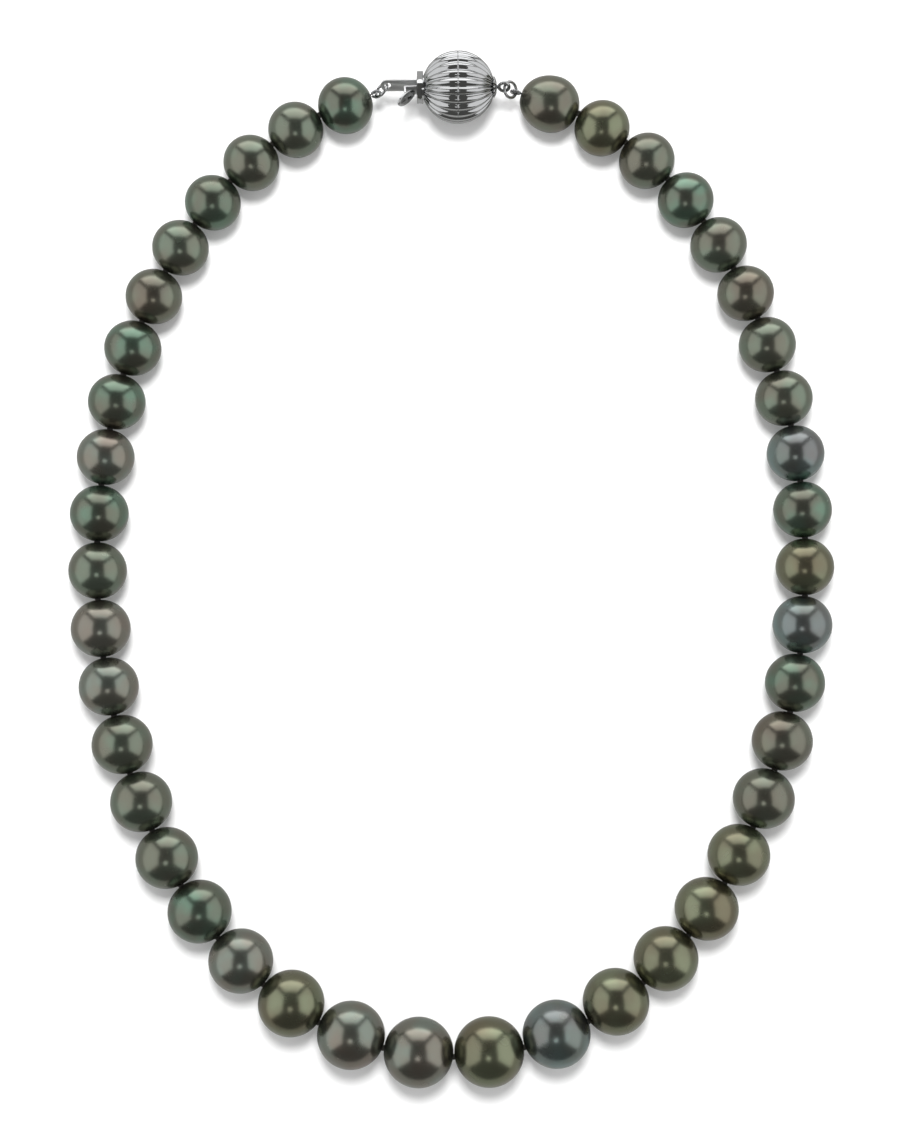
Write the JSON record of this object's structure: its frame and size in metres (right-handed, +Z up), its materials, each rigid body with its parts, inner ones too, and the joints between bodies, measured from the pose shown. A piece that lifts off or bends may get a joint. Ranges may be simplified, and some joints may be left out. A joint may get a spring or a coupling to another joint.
{
  "type": "pearl necklace",
  "caption": "Graduated dark pearl necklace, knotted on silk, closed at the back by a fluted ball clasp with a press-in tongue, laid in an oval.",
  "frame": {"origin": "middle of the footprint, on the surface that the necklace lies on", "axes": "+Y towards the clasp at the back of the neck, +Z up off the surface, +X towards the ball's end of the clasp"},
  "size_m": [0.1264, 0.1708, 0.012],
  "materials": {
    "pearl_green": "polished nacre",
    "pearl_slate": "polished nacre",
    "pearl_rose": "polished nacre",
    "pearl_olive": "polished nacre",
    "pearl_brown": "polished nacre",
    "pearl_blue": "polished nacre",
    "silk": "twisted silk",
    "bullion": "bright coiled wire",
    "white_gold": "polished, rhodium plated"
  },
  "bodies": {
    "bead_01": {"pearl_01": "pearl_green", "bullion_left": "bullion"},
    "bead_02": {"pearl_02": "pearl_slate"},
    "bead_03": {"pearl_03": "pearl_slate"},
    "bead_04": {"pearl_04": "pearl_green"},
    "bead_05": {"pearl_05": "pearl_slate"},
    "bead_06": {"pearl_06": "pearl_brown"},
    "bead_07": {"pearl_07": "pearl_green"},
    "bead_08": {"pearl_08": "pearl_green"},
    "bead_09": {"pearl_09": "pearl_rose"},
    "bead_10": {"pearl_10": "pearl_green"},
    "bead_11": {"pearl_11": "pearl_slate"},
    "bead_12": {"pearl_12": "pearl_rose"},
    "bead_13": {"pearl_13": "pearl_rose"},
    "bead_14": {"pearl_14": "pearl_slate"},
    "bead_15": {"pearl_15": "pearl_slate"},
    "bead_16": {"pearl_16": "pearl_slate"},
    "bead_17": {"pearl_17": "pearl_green"},
    "bead_18": {"pearl_18": "pearl_rose"},
    "bead_19": {"pearl_19": "pearl_olive"},
    "bead_20": {"pearl_20": "pearl_rose"},
    "bead_21": {"pearl_21": "pearl_rose", "silk_thread": "silk"},
    "bead_22": {"pearl_22": "pearl_olive"},
    "bead_23": {"pearl_23": "pearl_blue"},
    "bead_24": {"pearl_24": "pearl_olive"},
    "bead_25": {"pearl_25": "pearl_olive"},
    "bead_26": {"pearl_26": "pearl_olive"},
    "bead_27": {"pearl_27": "pearl_olive"},
    "bead_28": {"pearl_28": "pearl_slate"},
    "bead_29": {"pearl_29": "pearl_brown"},
    "bead_30": {"pearl_30": "pearl_green"},
    "bead_31": {"pearl_31": "pearl_blue"},
    "bead_32": {"pearl_32": "pearl_olive"},
    "bead_33": {"pearl_33": "pearl_green"},
    "bead_34": {"pearl_34": "pearl_blue"},
    "bead_35": {"pearl_35": "pearl_slate"},
    "bead_36": {"pearl_36": "pearl_slate"},
    "bead_37": {"pearl_37": "pearl_brown"},
    "bead_38": {"pearl_38": "pearl_slate"},
    "bead_39": {"pearl_39": "pearl_green"},
    "bead_40": {"pearl_40": "pearl_slate"},
    "bead_41": {"pearl_41": "pearl_olive"},
    "bead_42": {"pearl_42": "pearl_brown", "bullion_right": "bullion"},
    "tongue_ring_link": {"tongue_ring": "white_gold"},
    "tongue_bar": {"tongue": "white_gold"},
    "leaf": {"spring_leaf": "white_gold", "thumb_tab": "white_gold"},
    "ball_ring_link": {"ball_ring": "white_gold"},
    "ball": {"ball_half_inlet": "white_gold", "ball_half_end": "white_gold", "slot_plate": "white_gold", "end_cap": "white_gold", "ball_eye": "white_gold"}
  },
  "joints": [
    {"name": "strand_open", "type": "hinge", "parent": "bead_21", "child": "bead_22", "pos_m": [0, -0.07992, 0.00575], "axis": [0, 0, 1], "range_deg": [-14.5, 0], "deforming": ["silk_thread"]},
    {"name": "knot_22", "type": "hinge", "parent": "bead_22", "child": "bead_23", "pos_m": [0.01161, -0.07843, 0.00567], "axis": [0, 0, 1], "range_deg": [-14.31, 0]},
    {"name": "knot_23", "type": "hinge", "parent": "bead_23", "child": "bead_24", "pos_m": [0.02217, -0.07423, 0.00551], "axis": [0, 0, 1], "range_deg": [-13.12, 0]},
    {"name": "knot_24", "type": "hinge", "parent": "bead_24", "child": "bead_25", "pos_m": [0.03123, -0.06793, 0.00536], "axis": [0, 0, 1], "range_deg": [-11.11, 0]},
    {"name": "knot_25", "type": "hinge", "parent": "bead_25", "child": "bead_26", "pos_m": [0.03871, -0.06021, 0.00523], "axis": [0, 0, 1], "range_deg": [-9.15, 0]},
    {"name": "knot_26", "type": "hinge", "parent": "bead_26", "child": "bead_27", "pos_m": [0.04473, -0.05162, 0.00511], "axis": [0, 0, 1], "range_deg": [-7.61, 0]},
    {"name": "knot_27", "type": "hinge", "parent": "bead_27", "child": "bead_28", "pos_m": [0.04946, -0.04252, 0.00501], "axis": [0, 0, 1], "range_deg": [-6.52, 0]},
    {"name": "knot_28", "type": "hinge", "parent": "bead_28", "child": "bead_29", "pos_m": [0.05306, -0.03313, 0.00492], "axis": [0, 0, 1], "range_deg": [-5.77, 0]},
    {"name": "knot_29", "type": "hinge", "parent": "bead_29", "child": "bead_30", "pos_m": [0.05566, -0.0236, 0.00484], "axis": [0, 0, 1], "range_deg": [-5.27, 0]},
    {"name": "knot_30", "type": "hinge", "parent": "bead_30", "child": "bead_31", "pos_m": [0.05736, -0.01403, 0.00477], "axis": [0, 0, 1], "range_deg": [-4.95, 0]},
    {"name": "knot_31", "type": "hinge", "parent": "bead_31", "child": "bead_32", "pos_m": [0.05822, -0.00447, 0.00471], "axis": [0, 0, 1], "range_deg": [-4.79, 0]},
    {"name": "knot_32", "type": "hinge", "parent": "bead_32", "child": "bead_33", "pos_m": [0.05828, 0.00502, 0.00466], "axis": [0, 0, 1], "range_deg": [-4.76, 0]},
    {"name": "knot_33", "type": "hinge", "parent": "bead_33", "child": "bead_34", "pos_m": [0.05757, 0.01439, 0.00462], "axis": [0, 0, 1], "range_deg": [-4.85, 0]},
    {"name": "knot_34", "type": "hinge", "parent": "bead_34", "child": "bead_35", "pos_m": [0.05609, 0.02359, 0.00458], "axis": [0, 0, 1], "range_deg": [-5.07, 0]},
    {"name": "knot_35", "type": "hinge", "parent": "bead_35", "child": "bead_36", "pos_m": [0.05382, 0.03257, 0.00456], "axis": [0, 0, 1], "range_deg": [-5.44, 0]},
    {"name": "knot_36", "type": "hinge", "parent": "bead_36", "child": "bead_37", "pos_m": [0.05073, 0.04125, 0.00453], "axis": [0, 0, 1], "range_deg": [-5.97, 0]},
    {"name": "knot_37", "type": "hinge", "parent": "bead_37", "child": "bead_38", "pos_m": [0.04677, 0.04954, 0.00452], "axis": [0, 0, 1], "range_deg": [-6.72, 0]},
    {"name": "knot_38", "type": "hinge", "parent": "bead_38", "child": "bead_39", "pos_m": [0.04189, 0.05729, 0.00451], "axis": [0, 0, 1], "range_deg": [-7.7, 0]},
    {"name": "knot_39", "type": "hinge", "parent": "bead_39", "child": "bead_40", "pos_m": [0.03602, 0.06432, 0.0045], "axis": [0, 0, 1], "range_deg": [-8.89, 0]},
    {"name": "knot_40", "type": "hinge", "parent": "bead_40", "child": "bead_41", "pos_m": [0.02914, 0.07036, 0.0045], "axis": [0, 0, 1], "range_deg": [-10.08, 0]},
    {"name": "knot_41", "type": "hinge", "parent": "bead_41", "child": "bead_42", "pos_m": [0.02133, 0.07516, 0.0045], "axis": [0, 0, 1], "range_deg": [-12.4, 0]},
    {"name": "bullion_right_swivel", "type": "hinge", "parent": "bead_42", "child": "ball_ring_link", "pos_m": [0.01098, 0.07876, 0.0045], "axis": [0, 0, 1], "range_deg": [-9.41, 0]},
    {"name": "ball_swivel", "type": "hinge", "parent": "ball_ring_link", "child": "ball", "pos_m": [0.00932, 0.07933, 0.006], "axis": [0, 0, 1], "range_deg": [-9.41, 0]},
    {"name": "knot_20", "type": "hinge", "parent": "bead_21", "child": "bead_20", "pos_m": [-0.01161, -0.07843, 0.00567], "axis": [0, 0, 1], "range_deg": [0, 14.31]},
    {"name": "knot_19", "type": "hinge", "parent": "bead_20", "child": "bead_19", "pos_m": [-0.02217, -0.07423, 0.00551], "axis": [0, 0, 1], "range_deg": [0, 13.12]},
    {"name": "knot_18", "type": "hinge", "parent": "bead_19", "child": "bead_18", "pos_m": [-0.03123, -0.06793, 0.00536], "axis": [0, 0, 1], "range_deg": [0, 11.11]},
    {"name": "knot_17", "type": "hinge", "parent": "bead_18", "child": "bead_17", "pos_m": [-0.03871, -0.06021, 0.00523], "axis": [0, 0, 1], "range_deg": [0, 9.15]},
    {"name": "knot_16", "type": "hinge", "parent": "bead_17", "child": "bead_16", "pos_m": [-0.04473, -0.05162, 0.00511], "axis": [0, 0, 1], "range_deg": [0, 7.61]},
    {"name": "knot_15", "type": "hinge", "parent": "bead_16", "child": "bead_15", "pos_m": [-0.04946, -0.04252, 0.00501], "axis": [0, 0, 1], "range_deg": [0, 6.52]},
    {"name": "knot_14", "type": "hinge", "parent": "bead_15", "child": "bead_14", "pos_m": [-0.05306, -0.03313, 0.00492], "axis": [0, 0, 1], "range_deg": [0, 5.77]},
    {"name": "knot_13", "type": "hinge", "parent": "bead_14", "child": "bead_13", "pos_m": [-0.05566, -0.0236, 0.00484], "axis": [0, 0, 1], "range_deg": [0, 5.27]},
    {"name": "knot_12", "type": "hinge", "parent": "bead_13", "child": "bead_12", "pos_m": [-0.05736, -0.01403, 0.00477], "axis": [0, 0, 1], "range_deg": [0, 4.95]},
    {"name": "knot_11", "type": "hinge", "parent": "bead_12", "child": "bead_11", "pos_m": [-0.05822, -0.00447, 0.00471], "axis": [0, 0, 1], "range_deg": [0, 4.79]},
    {"name": "knot_10", "type": "hinge", "parent": "bead_11", "child": "bead_10", "pos_m": [-0.05828, 0.00502, 0.00466], "axis": [0, 0, 1], "range_deg": [0, 4.76]},
    {"name": "knot_09", "type": "hinge", "parent": "bead_10", "child": "bead_09", "pos_m": [-0.05757, 0.01439, 0.00462], "axis": [0, 0, 1], "range_deg": [0, 4.85]},
    {"name": "knot_08", "type": "hinge", "parent": "bead_09", "child": "bead_08", "pos_m": [-0.05609, 0.02359, 0.00458], "axis": [0, 0, 1], "range_deg": [0, 5.07]},
    {"name": "knot_07", "type": "hinge", "parent": "bead_08", "child": "bead_07", "pos_m": [-0.05382, 0.03257, 0.00456], "axis": [0, 0, 1], "range_deg": [0, 5.44]},
    {"name": "knot_06", "type": "hinge", "parent": "bead_07", "child": "bead_06", "pos_m": [-0.05073, 0.04125, 0.00453], "axis": [0, 0, 1], "range_deg": [0, 5.97]},
    {"name": "knot_05", "type": "hinge", "parent": "bead_06", "child": "bead_05", "pos_m": [-0.04677, 0.04954, 0.00452], "axis": [0, 0, 1], "range_deg": [0, 6.72]},
    {"name": "knot_04", "type": "hinge", "parent": "bead_05", "child": "bead_04", "pos_m": [-0.04189, 0.05729, 0.00451], "axis": [0, 0, 1], "range_deg": [0, 7.7]},
    {"name": "knot_03", "type": "hinge", "parent": "bead_04", "child": "bead_03", "pos_m": [-0.03602, 0.06432, 0.0045], "axis": [0, 0, 1], "range_deg": [0, 8.89]},
    {"name": "knot_02", "type": "hinge", "parent": "bead_03", "child": "bead_02", "pos_m": [-0.02914, 0.07036, 0.0045], "axis": [0, 0, 1], "range_deg": [0, 10.08]},
    {"name": "knot_01", "type": "hinge", "parent": "bead_02", "child": "bead_01", "pos_m": [-0.02132, 0.07512, 0.0045], "axis": [0, 0, 1], "range_deg": [0, 11.36]},
    {"name": "bullion_left_swivel", "type": "hinge", "parent": "bead_01", "child": "tongue_ring_link", "pos_m": [-0.01185, 0.07857, 0.0045], "axis": [0, 0, 1], "range_deg": [0, 9.92]},
    {"name": "tongue_swivel", "type": "hinge", "parent": "tongue_ring_link", "child": "tongue_bar", "pos_m": [-0.01025, 0.07977, 0.00556], "axis": [0, 0, 1], "range_deg": [0, 9.92]},
    {"name": "tab_press", "type": "hinge", "parent": "tongue_bar", "child": "leaf", "pos_m": [0.00229, 0.07946, 0.00595], "axis": [0, -0.7071, -0.7071], "range_deg": [0, 4.3], "stiffness_Nm_per_rad": 0.01}
  ],
  "couplings": [
    {"joint": "knot_22", "follows": "strand_open", "ratio": 0.98534},
    {"joint": "knot_23", "follows": "strand_open", "ratio": 0.90304},
    {"joint": "knot_24", "follows": "strand_open", "ratio": 0.7648},
    {"joint": "knot_25", "follows": "strand_open", "ratio": 0.62905},
    {"joint": "knot_26", "follows": "strand_open", "ratio": 0.52334},
    {"joint": "knot_27", "follows": "strand_open", "ratio": 0.44792},
    {"joint": "knot_28", "follows": "strand_open", "ratio": 0.39604},
    {"joint": "knot_29", "follows": "strand_open", "ratio": 0.36148},
    {"joint": "knot_30", "follows": "strand_open", "ratio": 0.33994},
    {"joint": "knot_31", "follows": "strand_open", "ratio": 0.32877},
    {"joint": "knot_32", "follows": "strand_open", "ratio": 0.32654},
    {"joint": "knot_33", "follows": "strand_open", "ratio": 0.33281},
    {"joint": "knot_34", "follows": "strand_open", "ratio": 0.34795},
    {"joint": "knot_35", "follows": "strand_open", "ratio": 0.37313},
    {"joint": "knot_36", "follows": "strand_open", "ratio": 0.41026},
    {"joint": "knot_37", "follows": "strand_open", "ratio": 0.46178},
    {"joint": "knot_38", "follows": "strand_open", "ratio": 0.52948},
    {"joint": "knot_39", "follows": "strand_open", "ratio": 0.6112},
    {"joint": "knot_40", "follows": "strand_open", "ratio": 0.69375},
    {"joint": "knot_41", "follows": "strand_open", "ratio": 0.85326},
    {"joint": "bullion_right_swivel", "follows": "strand_open", "ratio": 0.64698},
    {"joint": "ball_swivel", "follows": "strand_open", "ratio": 0.64698},
    {"joint": "knot_20", "follows": "strand_open", "ratio": -0.98534},
    {"joint": "knot_19", "follows": "strand_open", "ratio": -0.90304},
    {"joint": "knot_18", "follows": "strand_open", "ratio": -0.7648},
    {"joint": "knot_17", "follows": "strand_open", "ratio": -0.62905},
    {"joint": "knot_16", "follows": "strand_open", "ratio": -0.52334},
    {"joint": "knot_15", "follows": "strand_open", "ratio": -0.44792},
    {"joint": "knot_14", "follows": "strand_open", "ratio": -0.39604},
    {"joint": "knot_13", "follows": "strand_open", "ratio": -0.36148},
    {"joint": "knot_12", "follows": "strand_open", "ratio": -0.33994},
    {"joint": "knot_11", "follows": "strand_open", "ratio": -0.32877},
    {"joint": "knot_10", "follows": "strand_open", "ratio": -0.32654},
    {"joint": "knot_09", "follows": "strand_open", "ratio": -0.33281},
    {"joint": "knot_08", "follows": "strand_open", "ratio": -0.34795},
    {"joint": "knot_07", "follows": "strand_open", "ratio": -0.37313},
    {"joint": "knot_06", "follows": "strand_open", "ratio": -0.41026},
    {"joint": "knot_05", "follows": "strand_open", "ratio": -0.46178},
    {"joint": "knot_04", "follows": "strand_open", "ratio": -0.52948},
    {"joint": "knot_03", "follows": "strand_open", "ratio": -0.6112},
    {"joint": "knot_02", "follows": "strand_open", "ratio": -0.69375},
    {"joint": "knot_01", "follows": "strand_open", "ratio": -0.78206},
    {"joint": "bullion_left_swivel", "follows": "strand_open", "ratio": -0.68258},
    {"joint": "tongue_swivel", "follows": "strand_open", "ratio": -0.68258}
  ]
}
